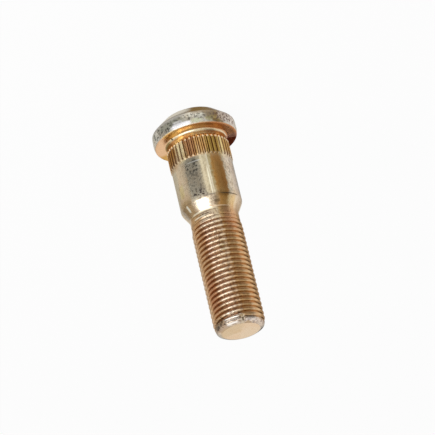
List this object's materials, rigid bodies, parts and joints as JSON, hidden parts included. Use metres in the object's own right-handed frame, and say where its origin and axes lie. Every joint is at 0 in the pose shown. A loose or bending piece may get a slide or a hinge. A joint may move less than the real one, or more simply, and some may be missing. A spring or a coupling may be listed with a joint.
{
  "type": "wheel stud",
  "caption": "Press-in wheel stud: round forged head, straight knurl that bites into the hub, plain shank, tapered step and rolled right-hand thread for the wheel nut.",
  "frame": {"origin": "middle of the flat top of the head, which the stud stands on", "axes": "+Z along the stud's axis, from the head's top towards the thread's end face; +X and +Y across the stud"},
  "size_m": [0.0212, 0.0212, 0.0586],
  "materials": {
    "yellow_zinc_steel": "steel with yellow chromated zinc plating: glossy, golden to copper brown, with silver-grey and lilac patches and small dark pits"
  },
  "bodies": {
    "root": {"wheel_stud": "yellow_zinc_steel"}
  },
  "joints": []
}
